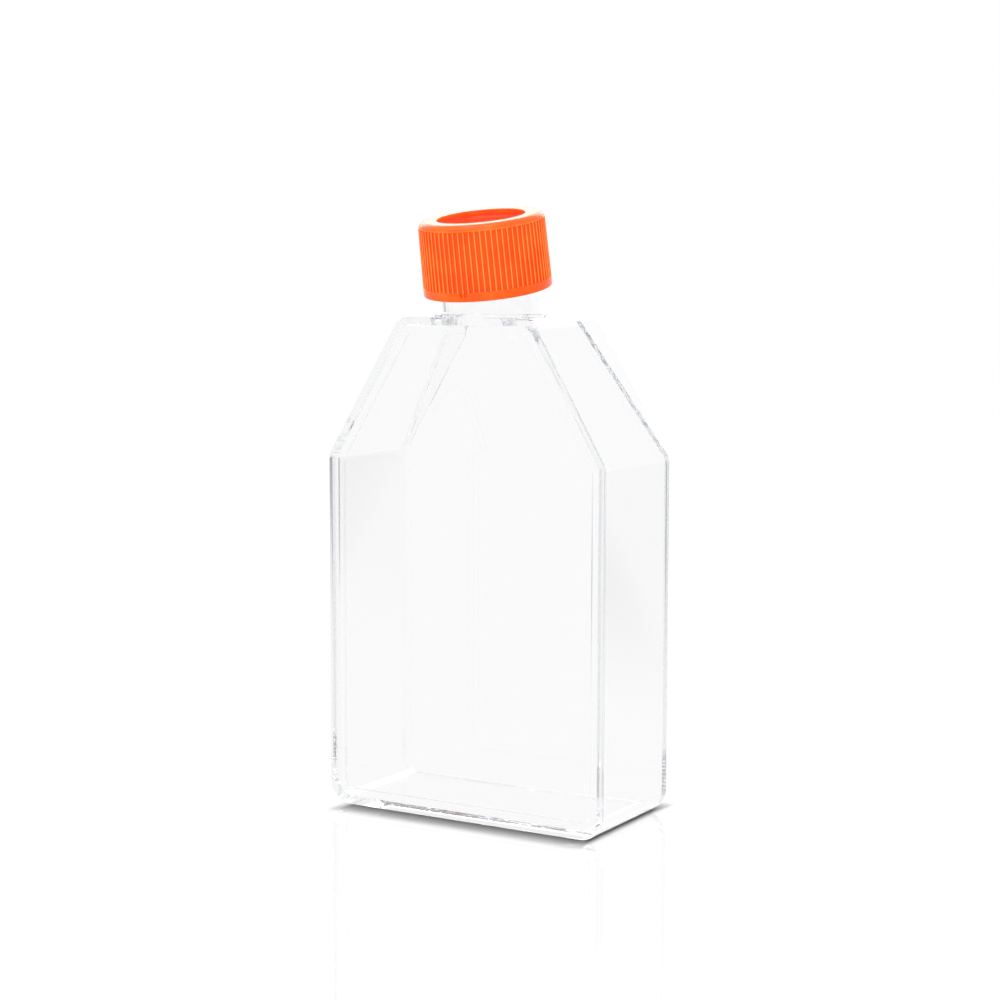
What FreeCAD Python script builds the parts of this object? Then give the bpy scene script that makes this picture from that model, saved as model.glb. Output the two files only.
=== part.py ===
import FreeCAD, Part
import math
import os

from FreeCAD import Placement, Rotation, Vector

# Cell culture flask with a canted neck, standing on its base end. Millimetres.
# X runs across the width, Y through the depth with the front plate at -Y, and Z up.
# The origin is the middle of the underside of the base.

# Body outline, seen from the front
BODY_WIDTH = 85.0
BODY_DEPTH = 38.0
STRAIGHT_HEIGHT = 96.5
SHOULDER_HEIGHT = 37.5
TOP_WIDTH = 40.2
BASE_CORNER_RADIUS = 6.5
SHOULDER_BEND_RADIUS = 4.0
TOP_CORNER_RADIUS = 4.5

# Walls of the moulded body
WALL = 1.8
BACK_EDGE_RADIUS = 1.5
LEAST_INNER_RADIUS = 0.5

# Ramp behind the shoulders, and the fins that carry on the side walls past it
RAMP_SETBACK = 10.5
RAMP_CORNER_RADIUS = 2.5
FIN_THICKNESS = 1.9
FIN_CORNER_RADIUS = 6.0

# Front plate, welded on, with a locating rim that stands just inside the walls
PLATE_THICKNESS = 1.8
PLATE_LEAN = 1.0
PLATE_BEND_RISE = 1.2
PLATE_BEND_RADIUS = 12.0
PLATE_EDGE_RADIUS = 0.6
RIM_WIDTH = 1.8
RIM_DEPTH = 1.0
RIM_CLEARANCE = 0.6

# Neck, measured along its own axis from the top of the shoulders
NECK_CANT = 11.2
NECK_FORWARD = 4.2
NECK_OUTER_RADIUS = 13.0
NECK_WALL = 1.8
NECK_LENGTH = 22.9
NECK_ROOT_DEPTH = 8.0
NECK_LIP_CHAMFER = 0.4
COLLAR_WIDTH = 2.0
COLLAR_HEIGHT = 0.9

# Thread on the neck
THREAD_PITCH = 4.2
THREAD_TURNS = 1.75
THREAD_DEPTH = 1.3
THREAD_ROOT_WIDTH = 2.2
THREAD_CREST_WIDTH = 0.9
THREAD_BELOW_LIP = 2.6
THREAD_EMBED = 0.3

# Screw cap, measured from its open end
CAP_HEIGHT = 19.7
CAP_WALL = 2.05
CAP_DRAFT = 0.3
CAP_RIM_WIDTH = 5.1
CAP_EDGE_RADIUS = 2.2
CAP_EDGE_FACETS = 4
CAP_MOUTH_CHAMFER = 0.5
CAP_RECESS_DEPTH = 2.3
CAP_SOFT_EDGE = 0.4
CAP_TOP_THICKNESS = 1.8
CAP_BAND_HEIGHT = 2.4
CAP_THREAD_CLEARANCE = 0.3
SEAL_GAP = 0.05
PLUG_DEPTH = 4.0
PLUG_WALL = 1.3
PLUG_CLEARANCE = 0.08

# Ribs round the cap
RIB_COUNT = 72
RIB_DEPTH = 0.45
RIB_WIDTH = 0.62
RIB_TOP_MARGIN = 1.3
RIB_TURN = 1.5
MARK_LENGTH = 1.2
MARK_AZIMUTH = 5.0

# Worked out from the sizes above
HEIGHT = STRAIGHT_HEIGHT + SHOULDER_HEIGHT
FRONT = -BODY_DEPTH / 2
BACK = BODY_DEPTH / 2
REACH = 2 * (BODY_WIDTH + BODY_DEPTH + HEIGHT)
PLATE_BEND_HEIGHT = STRAIGHT_HEIGHT + PLATE_BEND_RISE
PLATE_ANGLE = math.atan2(PLATE_LEAN, HEIGHT - PLATE_BEND_HEIGHT)
NECK_BORE_RADIUS = NECK_OUTER_RADIUS - NECK_WALL
THREAD_CREST_RADIUS = NECK_OUTER_RADIUS + THREAD_DEPTH
CAP_BORE_RADIUS = THREAD_CREST_RADIUS + CAP_THREAD_CLEARANCE
CAP_ROOT_RADIUS = CAP_BORE_RADIUS + CAP_WALL
CAP_OUTER_RADIUS = CAP_ROOT_RADIUS + RIB_DEPTH
CAP_TOP_RADIUS = CAP_OUTER_RADIUS - CAP_DRAFT
CAP_SEAT = CAP_HEIGHT - CAP_RECESS_DEPTH - CAP_TOP_THICKNESS
CAP_START = NECK_LENGTH + SEAL_GAP - CAP_SEAT


def vertical_to_neck_axis():
    """Placement that carries a piece built up the Z axis onto the canted neck axis."""
    return Placement(Vector(0, -NECK_FORWARD, HEIGHT), Rotation(Vector(1, 0, 0), NECK_CANT))


def rounded_wire(corners, radii):
    """Closed wire of straight runs and tangent arcs through a flat list of corners."""
    arcs = []
    for index, corner in enumerate(corners):
        back_way = (corners[index - 1] - corner).normalize()
        next_way = (corners[(index + 1) % len(corners)] - corner).normalize()
        half_angle = back_way.getAngle(next_way) / 2
        radius = radii[index]
        tangent = radius / math.tan(half_angle)
        inward = (back_way + next_way).normalize()
        middle = corner + inward * (radius / math.sin(half_angle) - radius)
        arcs.append((corner + back_way * tangent, middle, corner + next_way * tangent))
    edges = []
    for index, (start, middle, end) in enumerate(arcs):
        if radii[index] > 0:
            edges.append(Part.Arc(start, middle, end).toShape())
        next_start = arcs[(index + 1) % len(arcs)][0]
        edges.append(Part.LineSegment(end, next_start).toShape())
    return Part.Wire(edges)


def inset_corners(corners, inset):
    """The corners of a flat convex outline after every side moves inward by the inset."""
    centre = sum(corners, Vector()) * (1.0 / len(corners))
    normal = (corners[1] - corners[0]).cross(corners[2] - corners[1]).normalize()
    inward = []
    for index, corner in enumerate(corners):
        side = (corners[(index + 1) % len(corners)] - corner).normalize()
        across = normal.cross(side)
        if across.dot(centre - corner) < 0:
            across = across * -1
        inward.append(across)
    moved = []
    for index, corner in enumerate(corners):
        both = inward[index - 1] + inward[index]
        share = inset / (1 + inward[index - 1].dot(inward[index]))
        moved.append(corner + both * share)
    return moved


def inset_radii(radii, inset):
    """Corner radii that stay concentric with the outer ones after an inset."""
    return [max(radius - inset, LEAST_INNER_RADIUS) if radius > 0 else 0 for radius in radii]


def front_prism(inset):
    """The front outline, moved inward by the inset, carried right through the depth."""
    half_width = BODY_WIDTH / 2
    half_top = TOP_WIDTH / 2
    start = -REACH / 2
    corners = [
        Vector(-half_width, start, 0),
        Vector(half_width, start, 0),
        Vector(half_width, start, STRAIGHT_HEIGHT),
        Vector(half_top, start, HEIGHT),
        Vector(-half_top, start, HEIGHT),
        Vector(-half_width, start, STRAIGHT_HEIGHT),
    ]
    radii = [
        BASE_CORNER_RADIUS,
        BASE_CORNER_RADIUS,
        SHOULDER_BEND_RADIUS,
        TOP_CORNER_RADIUS,
        TOP_CORNER_RADIUS,
        SHOULDER_BEND_RADIUS,
    ]
    wire = rounded_wire(inset_corners(corners, inset), inset_radii(radii, inset))
    return Part.Face(wire).extrude(Vector(0, REACH, 0))


def side_prism(corners, radii):
    """A side outline, given as (y, z) pairs, carried right across the width."""
    points = [Vector(-REACH / 2, y, z) for y, z in corners]
    return Part.Face(rounded_wire(points, radii)).extrude(Vector(REACH, 0, 0))


def plate_line(depth):
    """The plate's bent line at a depth behind its outer face: y below, bend height, y at the top."""
    bend_drop = depth * math.tan(PLATE_ANGLE / 2)
    y = FRONT + depth
    top_y = FRONT + PLATE_LEAN + depth / math.cos(PLATE_ANGLE)
    return y, PLATE_BEND_HEIGHT - bend_drop, top_y


def behind_plate(depth, top):
    """Everything behind the plate's bent line at a depth, up to a height."""
    y, bend_z, top_y = plate_line(depth)
    top_y = top_y + (top - HEIGHT) * math.tan(PLATE_ANGLE)
    corners = [(y, -REACH / 2), (REACH / 2, -REACH / 2), (REACH / 2, top), (top_y, top), (y, bend_z)]
    radii = [0, 0, 0, 0, PLATE_BEND_RADIUS]
    return side_prism(corners, radii)


def main_side_corners():
    """Side outline of the space-holding body: base, back, ramp, top and front."""
    return [
        (FRONT, 0),
        (BACK, 0),
        (BACK, STRAIGHT_HEIGHT),
        (BACK - RAMP_SETBACK, HEIGHT),
        (FRONT, HEIGHT),
    ]


def cavity():
    """The space inside the body, open through the front where the plate closes it."""
    flat = [Vector(0, y, z) for y, z in main_side_corners()]
    inner = inset_corners(flat, WALL)
    inner = [(point.y, point.z) for point in inner]
    through_front = [(FRONT - WALL, inner[0][1])] + inner[1:4] + [(FRONT - WALL, inner[4][1])]
    ramp_radius = max(RAMP_CORNER_RADIUS - WALL, LEAST_INNER_RADIUS)
    side = side_prism(through_front, [0, 0, RAMP_CORNER_RADIUS, ramp_radius, 0])
    return front_prism(WALL).common(side)


def outer_form():
    """The outside of the flask with its fins, before the ramp pocket is taken out."""
    y, bend_z, top_y = plate_line(0)
    corners = [(y, 0), (BACK, 0), (BACK, HEIGHT), (top_y, HEIGHT), (y, bend_z)]
    radii = [0, 0, FIN_CORNER_RADIUS, 0, PLATE_BEND_RADIUS]
    return front_prism(0).common(side_prism(corners, radii))


def ramp_pocket():
    """The space behind the ramp and between the fins, open to the back and the top."""
    rise = REACH / 20
    slope = (BODY_WIDTH - TOP_WIDTH) / 2 / SHOULDER_HEIGHT
    fin_across = FIN_THICKNESS * math.hypot(1, slope)
    foot = BODY_WIDTH / 2 - fin_across
    crown = TOP_WIDTH / 2 - fin_across - rise * slope
    start = FRONT + PLATE_THICKNESS
    between_fins = Part.makePolygon([
        Vector(-foot, start, STRAIGHT_HEIGHT),
        Vector(foot, start, STRAIGHT_HEIGHT),
        Vector(crown, start, HEIGHT + rise),
        Vector(-crown, start, HEIGHT + rise),
        Vector(-foot, start, STRAIGHT_HEIGHT),
    ])
    pocket = Part.Face(between_fins).extrude(Vector(0, BODY_DEPTH, 0))
    corners = main_side_corners()
    corners[0] = (FRONT - REACH / 4, 0)
    corners[4] = (FRONT - REACH / 4, HEIGHT)
    body_side = side_prism(corners, [0, 0, 0, RAMP_CORNER_RADIUS, 0])
    return pocket.cut(body_side)


def edges_on_plane(shape, at_plane, keep):
    """Edges whose every point passes the plane test and whose middle passes the keep test."""
    chosen = []
    for edge in shape.Edges:
        points = [vertex.Point for vertex in edge.Vertexes]
        points.append(edge.valueAt((edge.FirstParameter + edge.LastParameter) / 2))
        if all(at_plane(point) for point in points) and keep(points[-1]):
            chosen.append(edge)
    return chosen


def soften_back(block):
    """Rounds the outer edge of the back, from the base up to the fins' own corners."""
    slope = (BODY_WIDTH - TOP_WIDTH) / 2 / SHOULDER_HEIGHT

    def on_outline(point):
        half = BODY_WIDTH / 2 - max(0, point.z - STRAIGHT_HEIGHT) * slope
        return abs(point.x) > half - FIN_THICKNESS / 2 or point.z < BASE_CORNER_RADIUS

    edges = edges_on_plane(block, lambda point: abs(point.y - BACK) < 1e-4, on_outline)
    return block.makeFillet(BACK_EDGE_RADIUS, edges)


def neck_thread():
    """The single-start thread, built up the Z axis around the neck."""
    top = NECK_LENGTH - THREAD_BELOW_LIP
    rise = THREAD_PITCH * THREAD_TURNS
    base = top - rise
    helix = Part.makeHelix(THREAD_PITCH, rise, NECK_OUTER_RADIUS)
    inner = NECK_OUTER_RADIUS - THREAD_EMBED
    profile = Part.makePolygon([
        Vector(inner, 0, -THREAD_ROOT_WIDTH / 2),
        Vector(THREAD_CREST_RADIUS, 0, -THREAD_CREST_WIDTH / 2),
        Vector(THREAD_CREST_RADIUS, 0, THREAD_CREST_WIDTH / 2),
        Vector(inner, 0, THREAD_ROOT_WIDTH / 2),
        Vector(inner, 0, -THREAD_ROOT_WIDTH / 2),
    ])
    thread = Part.Wire(helix.Edges).makePipeShell([profile], True, True)
    thread.translate(Vector(0, 0, base))
    return thread


def neck_tube():
    """The neck's outside with its bevelled lip and thread, built up the Z axis."""
    root = -2 * NECK_ROOT_DEPTH
    tube = Part.makeCylinder(NECK_OUTER_RADIUS, NECK_LENGTH - root, Vector(0, 0, root))
    rim = edges_on_plane(tube, lambda point: abs(point.z - NECK_LENGTH) < 1e-4, lambda point: True)
    tube = tube.makeChamfer(NECK_LIP_CHAMFER, rim)
    return tube.fuse(neck_thread())


def neck_bore():
    """The hole down the neck into the shoulder space, built up the Z axis."""
    root = -NECK_ROOT_DEPTH
    return Part.makeCylinder(NECK_BORE_RADIUS, NECK_LENGTH - root + SEAL_GAP, Vector(0, 0, root))


def collar():
    """The low ledge round the foot of the neck, trimmed to the flat top of the body."""
    disc = Part.makeCylinder(NECK_OUTER_RADIUS + COLLAR_WIDTH, COLLAR_HEIGHT, Vector(0, -NECK_FORWARD, HEIGHT))
    lean = math.atan2(RAMP_SETBACK, SHOULDER_HEIGHT)
    ramp_tangent = RAMP_CORNER_RADIUS * math.tan((math.pi / 2 - lean) / 2)
    front = FRONT + PLATE_LEAN
    back = BACK - RAMP_SETBACK - ramp_tangent
    flat = Part.makeBox(REACH, back - front, HEIGHT, Vector(-REACH / 2, front, HEIGHT / 2))
    return disc.common(flat)


def flask_body():
    """The moulded body: walls, base, back, ramp, fins and neck in one piece."""
    outside = soften_back(outer_form()).cut(ramp_pocket())
    tube = neck_tube()
    bore = neck_bore()
    tube.Placement = vertical_to_neck_axis()
    bore.Placement = vertical_to_neck_axis()
    above_root = Part.makeBox(REACH, REACH, REACH, Vector(-REACH / 2, -REACH / 2, HEIGHT - NECK_ROOT_DEPTH))
    below_top = Part.makeBox(REACH, REACH, REACH, Vector(-REACH / 2, -REACH / 2, HEIGHT - REACH))
    body = outside.fuse([tube.common(above_root), collar()])
    plate_zone = below_top.cut(behind_plate(PLATE_THICKNESS, HEIGHT + WALL))
    body = body.cut(plate_zone)
    return body.cut([cavity(), bore])


def front_plate():
    """The welded plate that closes the front, with the rim that locates it."""
    slab = outer_form().cut(behind_plate(PLATE_THICKNESS, HEIGHT + WALL))
    outer_edges = edges_on_plane(
        slab,
        lambda point: point.y < FRONT + PLATE_LEAN + 1e-4 and on_plate_face(point),
        lambda point: not crosses_front(point),
    )
    slab = slab.makeFillet(PLATE_EDGE_RADIUS, outer_edges)
    rim_outer = WALL + RIM_CLEARANCE
    rim = front_prism(rim_outer).cut(front_prism(rim_outer + RIM_WIDTH))
    rim = rim.cut(behind_plate(PLATE_THICKNESS + RIM_DEPTH, HEIGHT))
    rim = rim.common(behind_plate(PLATE_THICKNESS / 2, HEIGHT))
    return slab.fuse(rim).removeSplitter()


def on_plate_face(point):
    """Whether a point lies on the outer face of the plate."""
    rise = max(0.0, point.z - PLATE_BEND_HEIGHT)
    face_y = FRONT + rise * math.tan(PLATE_ANGLE)
    return abs(point.y - face_y) < PLATE_EDGE_RADIUS / 4


def crosses_front(point):
    """Whether a point lies on the bend across the plate, away from its outline."""
    return abs(point.x) < TOP_WIDTH / 4 and PLATE_EDGE_RADIUS < point.z < HEIGHT - PLATE_EDGE_RADIUS


def cap_blank():
    """The cap before its ribs are cut: band, tapered wall, recessed top and plug."""
    recess_radius = CAP_TOP_RADIUS - CAP_RIM_WIDTH
    recess_floor = CAP_HEIGHT - CAP_RECESS_DEPTH
    plug_radius = NECK_BORE_RADIUS - PLUG_CLEARANCE
    plug_end = CAP_SEAT - PLUG_DEPTH
    mouth_radius = CAP_BORE_RADIUS + CAP_MOUTH_CHAMFER
    soft = CAP_SOFT_EDGE
    outline = [
        (0, recess_floor),
        (recess_radius - soft, recess_floor),
        (recess_radius, recess_floor + soft),
        (recess_radius, CAP_HEIGHT - soft / 2),
        (recess_radius + soft / 2, CAP_HEIGHT),
    ]
    for step in range(CAP_EDGE_FACETS + 1):
        angle = math.pi / 2 * step / CAP_EDGE_FACETS
        inset = CAP_EDGE_RADIUS * (1 - math.sin(angle))
        drop = CAP_EDGE_RADIUS * (1 - math.cos(angle))
        outline.append((CAP_TOP_RADIUS - inset, CAP_HEIGHT - drop))
    outline += [
        (CAP_OUTER_RADIUS, CAP_BAND_HEIGHT),
        (CAP_OUTER_RADIUS, soft),
        (CAP_OUTER_RADIUS - soft, 0),
        (mouth_radius, 0),
        (CAP_BORE_RADIUS, CAP_MOUTH_CHAMFER),
        (CAP_BORE_RADIUS, CAP_SEAT),
        (plug_radius, CAP_SEAT),
        (plug_radius, plug_end + soft),
        (plug_radius - soft, plug_end),
        (plug_radius - PLUG_WALL, plug_end),
        (plug_radius - PLUG_WALL, CAP_SEAT),
        (0, CAP_SEAT),
    ]
    corners = [Vector(radius, 0, height) for radius, height in outline]
    section = Part.Face(Part.makePolygon(corners + corners[:1]))
    return section.revolve(Vector(0, 0, 0), Vector(0, 0, 1), 360)


def rib_gap(bottom):
    """The cutter for one gap between two ribs, facing -Y, down to a height."""
    pitch_length = 2 * math.pi * CAP_OUTER_RADIUS / RIB_COUNT
    width = pitch_length - RIB_WIDTH
    top = CAP_HEIGHT - RIB_TOP_MARGIN
    clear_radius = CAP_OUTER_RADIUS + RIB_DEPTH
    root = CAP_ROOT_RADIUS
    profile = Part.makePolygon([
        Vector(-width / 2, -root, bottom),
        Vector(-width / 2, -root, top - RIB_DEPTH),
        Vector(-width / 2, -clear_radius, top + RIB_DEPTH),
        Vector(-width / 2, -clear_radius, bottom),
        Vector(-width / 2, -root, bottom),
    ])
    return Part.Face(profile).extrude(Vector(width, 0, 0))


def screw_cap():
    """The one-piece screw cap with its ribs, band, recessed top and sealing plug."""
    step = 360.0 / RIB_COUNT
    first_mark = round(MARK_AZIMUTH / step)
    gaps = []
    for index in range(RIB_COUNT):
        marked = index in (first_mark, first_mark + 1)
        gap = rib_gap(CAP_BAND_HEIGHT - MARK_LENGTH if marked else CAP_BAND_HEIGHT)
        gap.rotate(Vector(0, 0, 0), Vector(0, 0, 1), index * step + RIB_TURN)
        gaps.append(gap)
    cap = cap_blank().cut(Part.makeCompound(gaps))
    cap.translate(Vector(0, 0, CAP_START))
    cap.Placement = vertical_to_neck_axis().multiply(cap.Placement)
    return cap


def write_parts():
    """Writes each piece as parts/NAME.step and prints its volume and box."""
    os.makedirs("parts", exist_ok=True)
    pieces = {"flask_body": flask_body(), "front_plate": front_plate(), "screw_cap": screw_cap()}
    for name, shape in pieces.items():
        shape.exportStep(f"parts/{name}.step")
        box = shape.BoundBox
        spans = f"X {box.XMin:.2f} {box.XMax:.2f} Y {box.YMin:.2f} {box.YMax:.2f} Z {box.ZMin:.2f} {box.ZMax:.2f}"
        print(f"{name}: {len(shape.Solids)} solid, valid {shape.isValid()}, {shape.Volume:.0f} mm3, {spans}")


write_parts()
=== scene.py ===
import logging
import math
from collections.abc import Callable
from dataclasses import dataclass, field
from enum import Enum

import bmesh
import bpy
from mathutils import Matrix, Vector


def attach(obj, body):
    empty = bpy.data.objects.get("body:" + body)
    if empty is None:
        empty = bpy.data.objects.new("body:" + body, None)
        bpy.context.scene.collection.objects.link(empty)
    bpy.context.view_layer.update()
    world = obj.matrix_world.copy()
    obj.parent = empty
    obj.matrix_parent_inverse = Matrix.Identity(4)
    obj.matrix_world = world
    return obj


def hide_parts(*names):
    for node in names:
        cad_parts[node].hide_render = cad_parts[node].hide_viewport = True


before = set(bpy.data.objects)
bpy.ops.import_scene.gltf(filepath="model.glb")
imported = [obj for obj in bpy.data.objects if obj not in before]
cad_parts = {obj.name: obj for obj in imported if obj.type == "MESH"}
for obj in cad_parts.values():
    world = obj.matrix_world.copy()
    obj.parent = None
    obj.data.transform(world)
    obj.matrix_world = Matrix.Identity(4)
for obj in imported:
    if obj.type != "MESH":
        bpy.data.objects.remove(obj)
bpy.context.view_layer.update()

LOG = logging.getLogger("culture_flask")
MM = 0.001
MERGE_DISTANCE = 1e-7
FLAT_FACE_WEIGHT = 90

Point2 = tuple[float, float]
Corner = tuple[float, float, float]
Colour = tuple[float, float, float, float]
Ring = list[Vector]
Piece = bpy.types.Object
Tree = bpy.types.NodeTree
Socket = bpy.types.NodeSocket
WHITE: Colour = (1.0, 1.0, 1.0, 1.0)
BLACK: Colour = (0.0, 0.0, 0.0, 1.0)


class Body(Enum):
    """The rigid bodies that pieces ride on."""

    FLASK = "flask"
    CAP = "cap"


class Slot(Enum):
    """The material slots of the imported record."""

    CLEAR_BODY = "clear_body"
    ORANGE_CAP = "orange_cap"


class Join(Enum):
    """How one solid is worked into another."""

    ADD = "UNION"
    CUT = "DIFFERENCE"
    KEEP_SHARED = "INTERSECT"


# ---------------- flat outlines


def corner_arc(before: Point2, corner: Point2, after: Point2, radius: float, steps: int) -> list[Point2]:
    """Rounds one corner of a flat outline with an arc that meets both sides smoothly.

    Args:
        before: A point on the side that runs into the corner.
        corner: The sharp corner.
        after: A point on the side that leaves the corner.
        radius: The arc's radius; 0 leaves the corner sharp.
        steps: The number of chords in the arc.

    Returns:
        The points of the arc, or the corner alone where the radius is 0.
    """
    if radius <= 0:
        return [corner]
    here = Vector(corner)
    back_way = (Vector(before) - here).normalized()
    next_way = (Vector(after) - here).normalized()
    half = math.acos(max(-1.0, min(1.0, back_way.dot(next_way)))) / 2
    start = here + back_way * (radius / math.tan(half))
    centre = here + (back_way + next_way).normalized() * (radius / math.sin(half))
    spoke = start - centre
    sweep = math.pi - 2 * half
    turn = 1.0 if back_way.x * next_way.y - back_way.y * next_way.x < 0 else -1.0
    points = []
    for step in range(steps + 1):
        angle = turn * sweep * step / steps
        cos, sin = math.cos(angle), math.sin(angle)
        points.append((centre.x + spoke.x * cos - spoke.y * sin, centre.y + spoke.x * sin + spoke.y * cos))
    return points


def rounded_outline(corners: list[Corner], steps: int) -> list[Point2]:
    """Rounds every corner of a closed flat outline.

    Args:
        corners: The sharp corners in order, each with its radius.
        steps: The number of chords in each arc.

    Returns:
        The points of the rounded outline in the same order.
    """
    points: list[Point2] = []
    for index, corner in enumerate(corners):
        before, after = corners[index - 1], corners[(index + 1) % len(corners)]
        points += corner_arc(before[:2], corner[:2], after[:2], corner[2], steps)
    return points


# ---------------- solids from rings


def new_object(name: str, data: bpy.types.ID) -> Piece:
    """Puts a mesh, a lamp or a camera into the scene.

    Args:
        name: The name of the new object.
        data: Its mesh, lamp or camera data.

    Returns:
        The new object.
    """
    piece = bpy.data.objects.new(name, data)
    bpy.context.scene.collection.objects.link(piece)
    return piece


def remove_object(piece: Piece) -> None:
    """Deletes a helper object and its mesh.

    Args:
        piece: The object to delete.
    """
    mesh = piece.data
    bpy.data.objects.remove(piece)
    if mesh.users == 0:
        bpy.data.meshes.remove(mesh)


def closed_solid(name: str, shell: bmesh.types.BMesh) -> Piece:
    """Turns a closed shell into an object with its faces outward.

    Args:
        name: The name of the new object.
        shell: The shell, which is freed.

    Returns:
        The new object.
    """
    bmesh.ops.recalc_face_normals(shell, faces=shell.faces)
    mesh = bpy.data.meshes.new(name)
    shell.to_mesh(mesh)
    shell.free()
    return new_object(name, mesh)


def loft(name: str, rings: list[Ring], ends: Callable[[int], list[tuple[int, ...]]]) -> Piece:
    """Joins equal rings of points into a closed solid.

    Args:
        name: The name of the new object.
        rings: Rings of the same number of points, in millimetres.
        ends: Gives the faces that close one ring, as indices into it, from its point count.

    Returns:
        The closed solid with its faces outward, in metres.
    """
    count = len(rings[0])
    shell = bmesh.new()
    rows = [[shell.verts.new(point * MM) for point in ring] for ring in rings]
    for row, following in zip(rows, rows[1:]):
        for index in range(count):
            after = (index + 1) % count
            shell.faces.new((row[index], row[after], following[after], following[index]))
    for face in ends(count):
        shell.faces.new([rows[0][index] for index in reversed(face)])
        shell.faces.new([rows[-1][index] for index in face])
    return closed_solid(name, shell)


def mirrored_strips(count: int) -> list[tuple[int, ...]]:
    """Closes a ring that is the same left and right with one face between each pair of rows."""
    return [(row, row + 1, count - 2 - row, count - 1 - row) for row in range(count // 2 - 1)]


def single_face(count: int) -> list[tuple[int, ...]]:
    """Closes a ring with one flat face."""
    return [tuple(range(count))]


def turned(name: str, section: list[Point2], segments: int) -> Piece:
    """Turns a closed section of (radius, height) points round the Z axis.

    Args:
        name: The name of the new object.
        section: The section in millimetres; points at radius 0 become poles.
        segments: The number of segments round the axis.

    Returns:
        The closed solid with its faces outward, in metres.
    """
    shell = bmesh.new()
    rows: list[list[bmesh.types.BMVert]] = []
    for radius, height in section:
        if radius <= 0:
            rows.append([shell.verts.new((0, 0, height * MM))])
            continue
        row = []
        for step in range(segments):
            angle = 2 * math.pi * step / segments
            x, y = radius * math.cos(angle) * MM, radius * math.sin(angle) * MM
            row.append(shell.verts.new((x, y, height * MM)))
        rows.append(row)
    for index, row in enumerate(rows):
        following = rows[(index + 1) % len(rows)]
        if len(row) == 1 and len(following) == 1:
            continue
        for step in range(segments):
            after = (step + 1) % segments
            corners = [row[0]] if len(row) == 1 else [row[step], row[after]]
            corners += [following[0]] if len(following) == 1 else [following[after], following[step]]
            shell.faces.new(corners)
    return closed_solid(name, shell)


def settle_modifiers(piece: Piece) -> None:
    """Turns an object's modifiers into plain mesh and removes them.

    Args:
        piece: The object to settle.
    """
    depsgraph = bpy.context.evaluated_depsgraph_get()
    settled = bpy.data.meshes.new_from_object(piece.evaluated_get(depsgraph))
    worn = piece.data
    piece.modifiers.clear()
    piece.data = settled
    bpy.data.meshes.remove(worn)


def work_in(piece: Piece, tool: Piece, join: Join) -> None:
    """Works one solid into another and deletes the tool.

    Args:
        piece: The solid that is changed.
        tool: The solid that is added, cut out, or kept only where both are.
        join: Which of the three it is.
    """
    step = piece.modifiers.new(join.value.lower(), "BOOLEAN")
    step.operation = join.value
    step.solver = "EXACT"
    step.object = tool
    settle_modifiers(piece)
    remove_object(tool)


def mend(piece: Piece) -> int:
    """Merges an object's doubles, drops its empty faces and turns the rest outward.

    Args:
        piece: The object to mend.

    Returns:
        The number of edges that don't join exactly two faces.
    """
    shell = bmesh.new()
    shell.from_mesh(piece.data)
    bmesh.ops.remove_doubles(shell, verts=shell.verts, dist=MERGE_DISTANCE)
    bmesh.ops.dissolve_degenerate(shell, edges=shell.edges, dist=MERGE_DISTANCE)
    bmesh.ops.recalc_face_normals(shell, faces=shell.faces)
    open_edges = sum(1 for edge in shell.edges if not edge.is_manifold)
    shell.to_mesh(piece.data)
    shell.free()
    return open_edges


def close_and_smooth(piece: Piece, sharp_degrees: float) -> int:
    """Mends an object, shades its rounded parts smooth and keeps its flat faces flat.

    Args:
        piece: The object to finish.
        sharp_degrees: Edges that turn by more than this stay sharp.

    Returns:
        The number of edges that don't join exactly two faces.
    """
    open_edges = mend(piece)
    piece.data.shade_smooth()
    piece.data.set_sharp_from_angle(angle=math.radians(sharp_degrees))
    weigh = piece.modifiers.new("flat_faces_flat", "WEIGHTED_NORMAL")
    weigh.keep_sharp = True
    weigh.weight = FLAT_FACE_WEIGHT
    settle_modifiers(piece)
    return open_edges


def wear(piece: Piece, material: bpy.types.Material) -> None:
    """Gives the whole of a piece one material.

    Args:
        piece: The piece to dress.
        material: Its material.
    """
    piece.data.materials.clear()
    piece.data.materials.append(material)
    for polygon in piece.data.polygons:
        polygon.material_index = 0


# ---------------- node helpers


def add_node(
    tree: Tree, kind: str, sources: dict[str | int, object] | None = None, **settings: object
) -> bpy.types.Node:
    """Adds a node to a tree and feeds its sockets.

    Args:
        tree: The tree to add to.
        kind: The node's type name.
        sources: A link or a plain value for each socket, by its name or number.
        **settings: Properties of the node, by name.

    Returns:
        The new node.
    """
    node = tree.nodes.new(kind)
    for name, value in settings.items():
        setattr(node, name, value)
    for socket, source in (sources or {}).items():
        if isinstance(source, Socket):
            tree.links.new(source, node.inputs[socket])
        else:
            node.inputs[socket].default_value = source
    return node


def maths(tree: Tree, operation: str, first: object, second: object = 0.0) -> Socket:
    """Adds a Math node to a tree and returns its result."""
    return add_node(tree, "ShaderNodeMath", {0: first, 1: second}, operation=operation).outputs[0]


def spread(tree: Tree, value: object, low: float, high: float, to_low: float, to_high: float) -> Socket:
    """Maps a range of values smoothly on to another.

    Args:
        tree: The tree to add to.
        value: The value to map.
        low: Where the range starts.
        high: Where the range ends.
        to_low: The result at the start and before it.
        to_high: The result at the end and after it.

    Returns:
        The mapped value.
    """
    sources = {"Value": value, "From Min": low, "From Max": high, "To Min": to_low, "To Max": to_high}
    node = add_node(tree, "ShaderNodeMapRange", sources, interpolation_type="SMOOTHSTEP")
    return node.outputs["Result"]


def blend_colours(tree: Tree, share: object, first: object, second: object) -> Socket:
    """Mixes two colours by a share and returns the result."""
    sources = {"Factor": share, 6: first, 7: second}
    return add_node(tree, "ShaderNodeMix", sources, data_type="RGBA").outputs[2]


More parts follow.
